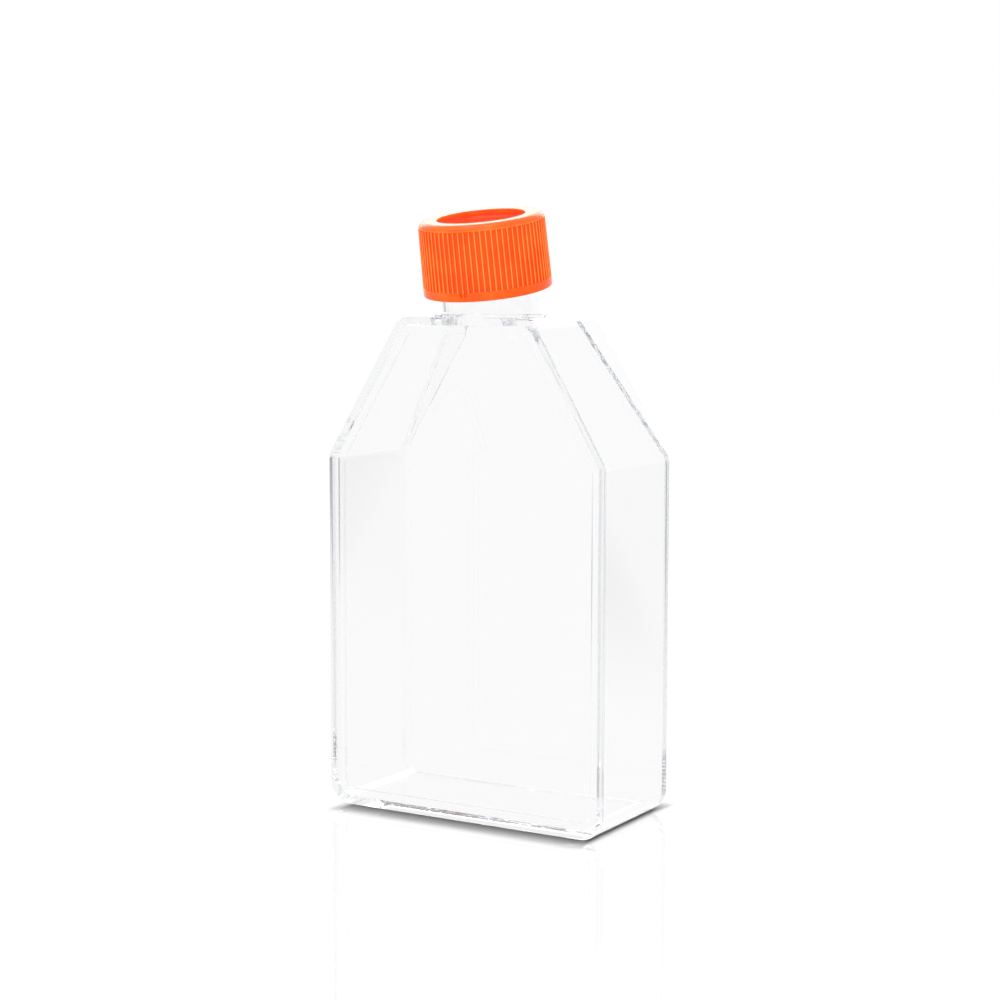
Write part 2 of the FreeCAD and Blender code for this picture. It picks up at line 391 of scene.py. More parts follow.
def blend_shaders(tree: Tree, share: object, first: bpy.types.Node, second: bpy.types.Node) -> Socket:
    """Mixes two shaders by a share and returns the result."""
    sources = {0: share, 1: first.outputs[0], 2: second.outputs[0]}
    return add_node(tree, "ShaderNodeMixShader", sources).outputs[0]


def noise(tree: Tree, place: Socket, scale: float, detail: float) -> Socket:
    """Adds cloudy noise at a place in a tree and returns its value."""
    sources = {"Vector": place, "Scale": scale, "Detail": detail}
    return add_node(tree, "ShaderNodeTexNoise", sources).outputs["Fac"]


def bump(tree: Tree, height: Socket, strength: float, distance: float) -> Socket:
    """Adds a fine unevenness to a surface and returns its normal."""
    sources = {"Strength": strength, "Distance": distance, "Height": height}
    return add_node(tree, "ShaderNodeBump", sources).outputs["Normal"]


def empty_tree(owner: bpy.types.Material | bpy.types.World) -> Tree:
    """Gives a material or a world an empty node tree.

    Args:
        owner: The material or the world.

    Returns:
        The tree.
    """
    owner.use_nodes = True
    owner.node_tree.nodes.clear()
    return owner.node_tree


def facing(place: Vector, way: Vector) -> Matrix:
    """The placement of a lamp or a camera that stands at a place and looks along a way."""
    return Matrix.Translation(place) @ way.to_track_quat("-Z", "Y").to_matrix().to_4x4()


class NodeTool:
    """A Geometry Nodes group with named inputs that makes one piece of plain mesh."""

    def __init__(self, name: str, inputs: dict[str, tuple[str, object]]) -> None:
        """Starts the group.

        Args:
            name: The name of the group and of the piece.
            inputs: The kind and the value of each input, by its label.
        """
        self.name = name
        self.tree = bpy.data.node_groups.new(name, "GeometryNodeTree")
        self.values: dict[str, object] = {}
        for label, (kind, value) in {**inputs, "Material": ("Material", None)}.items():
            kind = f"NodeSocket{kind}"
            socket = self.tree.interface.new_socket(label, in_out="INPUT", socket_type=kind)
            self.values[socket.identifier] = value
        self.tree.interface.new_socket("Piece", in_out="OUTPUT", socket_type="NodeSocketGeometry")
        self.given = add_node(self.tree, "NodeGroupInput").outputs

    def run(self, geometry: Socket) -> Piece:
        """Ends the group and runs it.

        Args:
            geometry: The geometry that the group ends at.

        Returns:
            The piece as plain mesh.
        """
        single = add_node(self.tree, "GeometryNodeRealizeInstances", {0: geometry})
        sources = {"Geometry": single.outputs[0], "Material": self.given["Material"]}
        coat = add_node(self.tree, "GeometryNodeSetMaterial", sources)
        add_node(self.tree, "NodeGroupOutput", {0: coat.outputs[0]})
        piece = new_object(self.name, bpy.data.meshes.new(self.name))
        step = piece.modifiers.new(self.name, "NODES")
        step.node_group = self.tree
        for identifier, value in self.values.items():
            step[identifier] = value
        settle_modifiers(piece)
        return piece


# ---------------- finishes


@dataclass(frozen=True)
class ClearStyrene:
    """Clear moulded polystyrene: water clear, glossy, and faintly grey where light runs far inside it."""

    name: str = "clear_styrene"
    tint: Colour = (0.979, 0.979, 0.978, 1.0)
    depth_tint: Colour = (0.40, 0.45, 0.52, 1.0)
    depth_density: float = 2.6
    bend: float = 1.59
    lamp_share: float = 0.9
    haze_noise: Point2 = (60, 3)
    haze: tuple[float, float, float, float] = (0.5, 0.75, 0.0, 0.02)
    flow_noise: Point2 = (45, 1)
    flow_height: float = 0.000004

    def make(self) -> bpy.types.Material:
        """Builds the finish.

        Returns:
            The material.
        """
        material = bpy.data.materials.new(self.name)
        tree = empty_tree(material)
        place = add_node(tree, "ShaderNodeTexCoord").outputs["Object"]
        surface = {
            "Base Color": self.tint,
            "IOR": self.bend,
            "Transmission Weight": 1.0,
            "Roughness": spread(tree, noise(tree, place, *self.haze_noise), *self.haze),
            "Normal": bump(tree, noise(tree, place, *self.flow_noise), 1.0, self.flow_height),
        }
        plastic = add_node(tree, "ShaderNodeBsdfPrincipled", surface)
        lamp_tint = (self.lamp_share, self.lamp_share, self.lamp_share, 1.0)
        pane = add_node(tree, "ShaderNodeBsdfTransparent", {"Color": lamp_tint})
        from_lamp = add_node(tree, "ShaderNodeLightPath").outputs["Is Shadow Ray"]
        depth = {"Color": self.depth_tint, "Density": self.depth_density}
        inside = add_node(tree, "ShaderNodeVolumeAbsorption", depth)
        ends = {"Surface": blend_shaders(tree, from_lamp, plastic, pane), "Volume": inside.outputs[0]}
        add_node(tree, "ShaderNodeOutputMaterial", ends)
        return material


@dataclass(frozen=True)
class OrangeCapPlastic:
    """Glossy orange polyethylene, with a painted highlight on the rib crests and painted shade between the
    ribs, in the recess and inside.

    Each point carries a value, from 0 deep inside to 1 on the crest of a rib, that picks its painted tone.
    """

    name: str = "orange_cap_plastic"
    # Painted tones: 0 is painted shade in the recess and inside, 0.35 painted shade between the ribs, 0.5 the
    # band, 1.0 a painted highlight on the rib crests.
    painted_tones: tuple[tuple[float, Colour], ...] = (
        (0.0, (0.95, 0.05, 0.008, 1.0)),
        (0.35, (0.98, 0.09, 0.010, 1.0)),
        (0.5, (0.98, 0.115, 0.008, 1.0)),
        (1.0, (0.98, 0.33, 0.055, 1.0)),
    )
    cloud_noise: Point2 = (160, 4)
    cloud_range: Point2 = (0.35, 0.65)
    cloud_depth: float = 0.07
    grain_noise: Point2 = (900, 2)
    grain_range: Point2 = (0.3, 0.7)
    grain_strength: float = 0.12
    grain_height: float = 0.00002
    gloss_roughness: float = 0.2
    gloss_change: float = 0.04
    gloss_level: float = 0.16

    def make(self) -> bpy.types.Material:
        """Builds the finish.

        Returns:
            The material.
        """
        material = bpy.data.materials.new(self.name)
        tree = empty_tree(material)
        place = add_node(tree, "ShaderNodeTexCoord").outputs["Object"]
        # The per-point value picks painted shade in the hollows and a painted highlight on the rib crests.
        painted_light_level = add_node(tree, "ShaderNodeAttribute", attribute_name="painted_light_level").outputs["Fac"]
        clouds = noise(tree, place, *self.cloud_noise)
        clouds = spread(tree, clouds, *self.cloud_range, -self.cloud_depth, self.cloud_depth)
        ramp = add_node(tree, "ShaderNodeValToRGB", {"Fac": maths(tree, "ADD", painted_light_level, clouds)})
        steps = ramp.color_ramp.elements
        while len(steps) < len(self.painted_tones):
            steps.new(0.5)
        for step, (position, colour) in zip(steps, self.painted_tones):
            step.position = position
            step.color = colour
        grain = noise(tree, place, *self.grain_noise)
        smooth, rough = self.gloss_roughness - self.gloss_change, self.gloss_roughness + self.gloss_change
        surface = {
            "Specular IOR Level": self.gloss_level,
            "Base Color": ramp.outputs["Color"],
            "Roughness": spread(tree, grain, *self.grain_range, smooth, rough),
            "Normal": bump(tree, grain, self.grain_strength, self.grain_height),
        }
        plastic = add_node(tree, "ShaderNodeBsdfPrincipled", surface)
        add_node(tree, "ShaderNodeOutputMaterial", {"Surface": plastic.outputs[0]})
        return material


@dataclass(frozen=True)
class PaintedCard:
    """A soft grey zone painted on the table in one direction from the flask, seen only where the table shows
    in plastic or gloss: a painted reflection of darker surroundings.
    """

    azimuth: float
    half_width: float
    softness: float
    colour: Colour

    def share(self, tree: Tree, way: Socket) -> Socket:
        """How much a direction points at the painted grey zone.

        Args:
            tree: The tree to add nodes to.
            way: The direction, level and of unit length.

        Returns:
            The share, from 0 beside the painted zone to 1 on it.
        """
        angle = math.radians(self.azimuth)
        sources = {0: way, 1: (-math.sin(angle), math.cos(angle), 0.0)}
        along = add_node(tree, "ShaderNodeVectorMath", sources, operation="DOT_PRODUCT")
        outer = math.cos(math.radians(self.half_width + self.softness))
        inner = math.cos(math.radians(self.half_width))
        return spread(tree, along.outputs["Value"], outer, inner, 0.0, 1.0)


@dataclass(frozen=True)
class PaintedSurroundings:
    """The painted reflections that the table shows in clear plastic and gloss: white, with darker painted
    grey zones.
    """

    # Painted grey zones, seen only in plastic and gloss, which draw dark painted reflection lines along the
    # flask's edges.
    painted_cards: tuple[PaintedCard, ...] = (
        PaintedCard(azimuth=-28.5, half_width=2.5, softness=3.0, colour=(0.86, 0.86, 0.87, 1.0)),
        PaintedCard(azimuth=-36.5, half_width=2.0, softness=3.8, colour=(0.36, 0.36, 0.39, 1.0)),
        PaintedCard(azimuth=66.0, half_width=5.0, softness=3.0, colour=(0.45, 0.47, 0.50, 1.0)),
    )

    def shade(self, tree: Tree, place: Socket) -> Socket:
        """The painted reflection colour at a place on the table.

        Args:
            tree: The tree to add nodes to.
            place: The place, counted from the flask.

        Returns:
            The colour.
        """
        sources = {0: place, 1: (1.0, 1.0, 0.0)}
        level = add_node(tree, "ShaderNodeVectorMath", sources, operation="MULTIPLY")
        way = add_node(tree, "ShaderNodeVectorMath", {0: level.outputs[0]}, operation="NORMALIZE")
        shade: object = WHITE
        for card in self.painted_cards:
            shade = blend_colours(tree, card.share(tree, way.outputs[0]), shade, card.colour)
        return shade


@dataclass(frozen=True)
class WhiteTable:
    """The white table top: white to the eye, with a painted contact shadow, painted grey zones seen only in
    plastic and gloss, and a faint gloss.
    """

    name: str = "white_table"
    glow: float = 0.90
    glow_reach: Point2 = (0.15, 0.7)
    lit: Colour = (0.10, 0.10, 0.10, 1.0)
    bounce: Colour = (0.8, 0.8, 0.8, 1.0)
    contact_samples: int = 8
    contact_reach: float = 0.010
    contact_power: float = 5.0
    contact_left: Point2 = (0.0335, 0.0400)
    contact_right: Point2 = (0.0380, 0.0415)
    clear_reach: Point2 = (0.11, 0.6)
    sheen: float = 0.35
    sheen_roughness: float = 0.03
    room: PaintedSurroundings = field(default_factory=PaintedSurroundings)

    def openness(self, tree: Tree, place: Socket, through: Socket) -> Socket:
        """How open the table lies, which leaves the contact shadow along the foot of the flask.

        Args:
            tree: The tree to add nodes to.
            place: The place on the table.
            through: 1 for a ray that comes through the clear plastic, otherwise 0.

        Returns:
            The share, from 0 right at the flask's foot to 1 in the open, beside it and through it.
        """
        reach = {"Distance": self.contact_reach}
        close = add_node(tree, "ShaderNodeAmbientOcclusion", reach, samples=self.contact_samples)
        clear = maths(tree, "POWER", close.outputs["AO"], self.contact_power)
        clear = maths(tree, "MAXIMUM", clear, through)
        across = add_node(tree, "ShaderNodeSeparateXYZ", {0: place}).outputs["X"]
        for side, fade in ((-1.0, self.contact_left), (1.0, self.contact_right)):
            aside = spread(tree, maths(tree, "MULTIPLY", across, side), *fade, 0.0, 1.0)
            clear = maths(tree, "MAXIMUM", clear, aside)
        return clear

    def make(self) -> bpy.types.Material:
        """Builds the finish.

        Returns:
            The material.
        """
        material = bpy.data.materials.new(self.name)
        tree = empty_tree(material)
        rays = add_node(tree, "ShaderNodeLightPath").outputs
        seen, mirrored, through = (rays[f"Is {kind} Ray"] for kind in ("Camera", "Glossy", "Transmission"))
        place = add_node(tree, "ShaderNodeTexCoord").outputs["Object"]
        away = add_node(tree, "ShaderNodeVectorMath", {0: place}, operation="LENGTH").outputs["Value"]
        clear = self.openness(tree, place, through)
        far = spread(tree, away, *self.clear_reach, 0.0, 1.0)
        # Far from the flask, rays through plastic or gloss see the painted grey zones; the eye sees plain
        # white.
        far_unseen = maths(tree, "MULTIPLY", far, maths(tree, "SUBTRACT", 1.0, seen))
        colour = blend_colours(tree, far_unseen, WHITE, self.room.shade(tree, place))
        direct = spread(tree, away, *self.glow_reach, self.glow, 1.0)
        indirect = maths(tree, "MAXIMUM", mirrored, through)
        strength = maths(tree, "MAXIMUM", maths(tree, "MULTIPLY", seen, direct), indirect)
        sources = {"Color": blend_colours(tree, clear, BLACK, colour), "Strength": strength}
        glow = add_node(tree, "ShaderNodeEmission", sources)
        share = blend_colours(tree, indirect, blend_colours(tree, seen, self.bounce, self.lit), BLACK)
        lit = add_node(tree, "ShaderNodeBsdfDiffuse", {"Color": share})
        both = add_node(tree, "ShaderNodeAddShader", {0: glow.outputs[0], 1: lit.outputs[0]})
        sources = {"Color": WHITE, "Roughness": self.sheen_roughness}
        mirror = add_node(tree, "ShaderNodeBsdfGlossy", sources)
        shine = maths(tree, "MULTIPLY", clear, self.sheen)
        shine = maths(tree, "MULTIPLY", shine, maths(tree, "SUBTRACT", 1.0, through))
        add_node(tree, "ShaderNodeOutputMaterial", {"Surface": blend_shaders(tree, shine, both, mirror)})
        return material


# ---------------- the clear vessel


@dataclass(frozen=True)
class NeckFrame:
    """Where the canted neck's axis stands; heights on it count from the body's top."""

    forward: float = 4.2
    top_height: float = 134.0
    cant_degrees: float = 11.2

    def matrix(self) -> Matrix:
        """The transform from the neck's own upright frame to the flask, in metres."""
        place = Matrix.Translation(Vector((0, -self.forward, self.top_height)) * MM)
        return place @ Matrix.Rotation(math.radians(self.cant_degrees), 4, "X")


@dataclass(frozen=True)
class Thread:
    """A single-start screw thread that follows a helix round the Z axis."""

    pitch: float = 4.2
    turns: float = 1.75
    radius: float = 13.0
    depth: float = 1.3
    root_width: float = 2.2
    crest_width: float = 0.9
    embed: float = 0.3
    steps_per_turn: int = 72
    outward: bool = True

    def build(self, name: str, base_height: float) -> Piece:
        """Sweeps the thread with Geometry Nodes.

        Args:
            name: The name of the new object.
            base_height: The height at which the thread starts.

        Returns:
            The thread as a closed plain solid.
        """
        sizes = {
            "Turns": self.turns,
            "Rise": self.pitch * self.turns * MM,
            "Radius": self.radius * MM,
            "Height": base_height * MM,
        }
        tool = NodeTool(name, {label: ("Float", size) for label, size in sizes.items()})
        tree, given = tool.tree, tool.given
        sources = {"Resolution": self.steps_per_turn, "Rotations": given["Turns"], "Height": given["Rise"]}
        sources |= {"Start Radius": given["Radius"], "End Radius": given["Radius"]}
        helix = add_node(tree, "GeometryNodeCurveSpiral", sources)
        upright = add_node(tree, "GeometryNodeSetCurveNormal", {"Curve": helix.outputs[0]}, mode="Z_UP")
        side = 1.0 if self.outward else -1.0
        corners = (
            (-self.embed, -self.root_width / 2),
            (self.depth, -self.crest_width / 2),
            (self.depth, self.crest_width / 2),
            (-self.embed, self.root_width / 2),
        )
        sources = {
            f"Point {number}": (side * out * MM, up * MM, 0.0)
            for number, (out, up) in enumerate(corners, start=1)
        }
        section = add_node(tree, "GeometryNodeCurvePrimitiveQuadrilateral", sources, mode="POINTS")
        sources = {"Curve": upright.outputs[0], "Profile Curve": section.outputs[0], "Fill Caps": True}
        sweep = add_node(tree, "GeometryNodeCurveToMesh", sources)
        raised = add_node(tree, "ShaderNodeCombineXYZ", {"Z": given["Height"]})
        sources = {"Geometry": sweep.outputs[0], "Translation": raised.outputs[0]}
        piece = tool.run(add_node(tree, "GeometryNodeTransform", sources).outputs[0])
        mend(piece)
        return piece


@dataclass(frozen=True)
class ClearVessel:
    """The clear flask: moulded body, welded front plate and neck as one clear wall.

    All sizes are in millimetres. X runs across the width, Y from the front plate to the
    back, and Z up from the base.
    """

    width: float = 85.0
    depth: float = 38.0
    straight_height: float = 96.5
    shoulder_height: float = 37.5
    top_width: float = 40.2
    base_radius: float = 6.5
    bend_radius: float = 4.0
    top_radius: float = 4.5
    wall: float = 2.1
    plate: float = 1.8
    least_radius: float = 0.5
    plate_lean: float = 1.0
    plate_bend_rise: float = 1.2
    plate_bend_length: float = 1.1
    front_edge: float = 0.15
    back_edge: float = 1.5
    inner_edge: float = 0.5
    rim_gap: float = 0.3
    rim_width: float = 1.8
    rim_depth: float = 1.0
    ramp_setback: float = 10.5
    ramp_radius: float = 2.5
    fin: float = 1.9
    fin_radius: float = 6.0
    neck_radius: float = 13.0
    neck_wall: float = 1.8
    neck_length: float = 22.9
    neck_root: float = 8.0
    lip: float = 0.4
    collar_width: float = 2.0
    collar_height: float = 0.9
    thread_below_lip: float = 2.6
    softness: float = 0.25
    slope_shares: tuple[float, ...] = (0.45, 0.74, 0.8, 0.86, 0.92, 0.97)
    arc_steps: int = 12
    edge_steps: int = 7
    round_steps: int = 96
    sharp_degrees: float = 8.0
    neck: NeckFrame = field(default_factory=NeckFrame)
    thread: Thread = field(default_factory=Thread)
    finish: ClearStyrene = field(default_factory=ClearStyrene)

    @property
    def height(self) -> float:
        """The height of the body without its neck."""
        return self.straight_height + self.shoulder_height

    @property
    def front(self) -> float:
        """The depth position of the front plate's outer face."""
        return -self.depth / 2

    @property
    def back(self) -> float:
        """The depth position of the back's outer face."""
        return self.depth / 2

    @property
    def ramp_slope(self) -> float:
        """How far the ramp comes forward for each millimetre up."""
        return self.ramp_setback / self.shoulder_height

    def half_corners(self, inset: float) -> list[Point2]:
        """The right-hand corners of the front outline after an inset.

        Args:
            inset: How far every side has moved inward.

        Returns:
            The (x, z) corners, from the base up.
        """
        half, top = self.width / 2, self.top_width / 2
        slope = math.atan2(half - top, self.shoulder_height)
        at_bend = inset * math.tan(slope / 2)
        over = math.pi / 2 - slope
        at_top = inset * math.tan(over / 2)
        return [
            (half - inset, inset),
            (half - inset, self.straight_height - at_bend),
            (top - at_top, self.height - inset),
        ]

    def outline(self, inset: float) -> list[Point2]:
        """The closed front outline after an inset: right side going up, left side coming down.

        Args:
            inset: How far every side has moved inward.

        Returns:
            The same number of (x, z) points for every inset, mirrored left to right.
        """
        base, bend, top = self.half_corners(inset)
        radii = [
            max(radius - inset, self.least_radius)
            for radius in (self.base_radius, self.bend_radius, self.top_radius)
        ]
        right = corner_arc((-base[0], base[1]), base, bend, radii[0], self.arc_steps)
        right += corner_arc(base, bend, top, radii[1], self.arc_steps)
        crown = corner_arc(bend, top, (-top[0], top[1]), radii[2], self.arc_steps)
        foot = right[-1]
        for share in self.slope_shares:
            x = foot[0] + (crown[0][0] - foot[0]) * share
            z = foot[1] + (crown[0][1] - foot[1]) * share
            right.append((x, z))
        right += crown
        left = [(-x, z) for x, z in reversed(right)]
        return right + left

    def front_at(self, height: float, behind: float) -> float:
        """The depth position of the bent plate at a height, some way behind its face.

        Args:
            height: The height above the base.
            behind: The distance behind the outer face.

        Returns:
            The depth position.
        """
        slope = self.plate_lean / (self.shoulder_height - self.plate_bend_rise)
        kink = self.straight_height + self.plate_bend_rise - behind * slope / 2
        run = height - kink + self.plate_bend_length / 2
        if run <= 0:
            lean = 0.0
        elif run < self.plate_bend_length:
            lean = slope * run * run / (2 * self.plate_bend_length)
        else:
            lean = slope * (run - self.plate_bend_length / 2)
        return self.front + behind + lean

    def back_at(self, height: float) -> float:
        """Where the outer back lies, with the fins' rounded corners.

        Args:
            height: The height above the base.

        Returns:
            The depth position.
        """
        rise = height - (self.height - self.fin_radius)
        if rise <= 0:
            return self.back
        return self.back - self.fin_radius + math.sqrt(max(self.fin_radius**2 - rise**2, 0.0))

    def inner_back_at(self, height: float) -> float:
        """Where the inside of the back wall and of the ramp lies.

        Args:
            height: The height above the base.

        Returns:
            The depth position.
        """
        wall_line = self.back - self.wall
        slant = self.wall * math.hypot(1.0, self.ramp_slope)
        ramp_line = self.back - slant - self.ramp_slope * (height - self.straight_height)
        blend = max(0.0, min(1.0, 0.5 + (ramp_line - wall_line) / (2 * self.softness)))
        return ramp_line + (wall_line - ramp_line) * blend - self.softness * blend * (1 - blend)

    def ring(self, inset: float, depth_at: Callable[[float], float]) -> Ring:
        """One ring of the outline after an inset, at a depth that depends on the height."""
        return [Vector((x, depth_at(z), z)) for x, z in self.outline(inset)]

    def edge_angles(self) -> list[float]:
        """The angles of the rows round a rounded edge, from 0 to a right angle."""
        return [math.pi / 2 * step / self.edge_steps for step in range(self.edge_steps + 1)]

    def back_rings(self, start: float, radius: float, depth_at: Callable[[float], float]) -> list[Ring]:
        """The rings round the rounded edge between the sides and the back.

        Args:
            start: The inset of the sides.
            radius: The radius of the edge.
            depth_at: Gives the depth position of the back at a height.

        Returns:
            The rings, from the sides to the back.
        """
        rings = []
        for angle in self.edge_angles():
            inset = start + radius * (1 - math.cos(angle))
            drawn = radius * (1 - math.sin(angle))
            rings.append(self.ring(inset, lambda z, d=drawn: depth_at(z) - d))
        return rings

    def build_outside(self) -> Piece:
        """Builds the outside of the flask with its fins.

        Returns:
            The solid, before the ramp pocket is cut.
        """
        rings: list[Ring] = []
        for angle in self.edge_angles():
            inset = self.front_edge * (1 - math.sin(angle))
            behind = self.front_edge * (1 - math.cos(angle))
            rings.append(self.ring(inset, lambda z, d=behind: self.front_at(z, d)))
        rings += self.back_rings(0.0, self.back_edge, self.back_at)
        return loft("clear_vessel", rings, mirrored_strips)

    def build_pocket(self) -> Piece:
        """Builds the tool that clears the space behind the ramp and between the fins.

        Returns:
            The tool.
        """
        over, below, tail = 6.0, 4.0, 2.0
        gap, step = 0.02, 0.25
        slope = (self.width - self.top_width) / 2 / self.shoulder_height
        across = self.fin * math.hypot(1.0, slope)
        foot = (self.back, self.straight_height)
        crest = (self.back - self.ramp_setback, self.height)
        round_top = corner_arc(foot, crest, (self.front, self.height), self.ramp_radius, self.arc_steps)
        round_top = round_top[:-1]
        tail_y = round_top[-1][0] - tail
        tail_z = round_top[-1][1] + gap
        far_y, top_z = self.back + over, self.height + over
        side = [(self.back + below * self.ramp_slope, self.straight_height - below)]
        side += round_top
        side += [(tail_y, tail_z + step), (tail_y, top_z), (far_y, top_z)]
        side += [(far_y, self.straight_height - below)]
        rings = []
        for sign in (1.0, -1.0):
            ring = []
            for y, z in side:
                half = self.width / 2 - across - slope * (z - self.straight_height)
                ring.append(Vector((sign * half, y, z)))
            rings.append(ring)
        return loft("ramp_pocket", rings, single_face)

    def build_inside(self) -> Piece:
        """Builds the space inside, from the plate and its rim to the back and the ramp.

        Returns:
            The space as a solid.
        """
        rim_outer = self.wall + self.rim_gap
        rim_inner = rim_outer + self.rim_width
        behind, deep = self.plate, self.plate + self.rim_depth
        steps = [(rim_inner, behind), (rim_inner, deep), (rim_outer, deep), (rim_outer, behind)]
        steps.append((self.wall, behind))
        rings = [self.ring(inset, lambda z, d=depth: self.front_at(z, d)) for inset, depth in steps]
        rings += self.back_rings(self.wall, self.inner_edge, self.inner_back_at)
        return loft("inside_space", rings, mirrored_strips)

    def build_neck(self) -> Piece:
        """Builds the canted neck with its thread.

        Returns:
            The neck, still solid, in its place on the flask.
        """
        section = [
            (0.0, -self.neck_root),
            (self.neck_radius, -self.neck_root),
            (self.neck_radius, self.neck_length - self.lip),
            (self.neck_radius - self.lip, self.neck_length),
            (0.0, self.neck_length),
        ]
        neck = turned("neck", section, self.round_steps)
        thread_base = self.neck_length - self.thread_below_lip - self.thread.pitch * self.thread.turns
        work_in(neck, self.thread.build("neck_thread", thread_base), Join.ADD)
        neck.data.transform(self.neck.matrix())
        return neck

    def build_collar(self) -> Piece:
        """Builds the low ledge round the foot of the neck.

        Returns:
            The ledge, trimmed to the flat top.
        """
        root, gap, deep, share = 0.6, 0.02, 3.0, 0.75
        radius = self.neck_radius + self.collar_width
        section = [(0.0, -root), (radius, -root), (radius, self.collar_height - self.softness)]
        section += [(radius - self.softness, self.collar_height), (0.0, self.collar_height)]
        collar = turned("collar", section, self.round_steps)
        collar.data.transform(Matrix.Translation(Vector((0, -self.neck.forward, self.height)) * MM))
        front = self.front + self.plate_lean + gap
        back = self.back - self.ramp_setback - self.ramp_radius * share
        reach = self.width
        corners = ((-reach, front), (reach, front), (reach, back), (-reach, back))
        box = [Vector((x, y, self.height - deep)) for x, y in corners]
        lid = [corner + Vector((0, 0, 2 * deep)) for corner in box]
        work_in(collar, loft("collar_trim", [box, lid], single_face), Join.KEEP_SHARED)
        return collar

    def build_bore(self) -> Piece:
        """Builds the tool that opens the neck into the space inside.

        Returns:
            The tool.
        """
        radius = self.neck_radius - self.neck_wall
        end = self.neck_length + 1.0
        section = [(0.0, -self.neck_root), (radius, -self.neck_root), (radius, end), (0.0, end)]
        bore = turned("neck_bore", section, self.round_steps)
        bore.data.transform(self.neck.matrix())
        return bore

    def build(self) -> Piece:
        """Builds the vessel and dresses it.

        Returns:
            The vessel, riding the flask body.
        """
        vessel = self.build_outside()
        work_in(vessel, self.build_pocket(), Join.CUT)
        work_in(vessel, self.build_neck(), Join.ADD)
        work_in(vessel, self.build_collar(), Join.ADD)
        hollow = self.build_inside()
        work_in(hollow, self.build_bore(), Join.ADD)
        work_in(vessel, hollow, Join.CUT)
        open_edges = close_and_smooth(vessel, self.sharp_degrees)
        wear(vessel, self.finish.make())
        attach(vessel, Body.FLASK.value)
        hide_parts("flask_body", "front_plate")
        LOG.info("clear vessel: %d faces, %d open edges", len(vessel.data.polygons), open_edges)
        return vessel


# ---------------- the screw cap


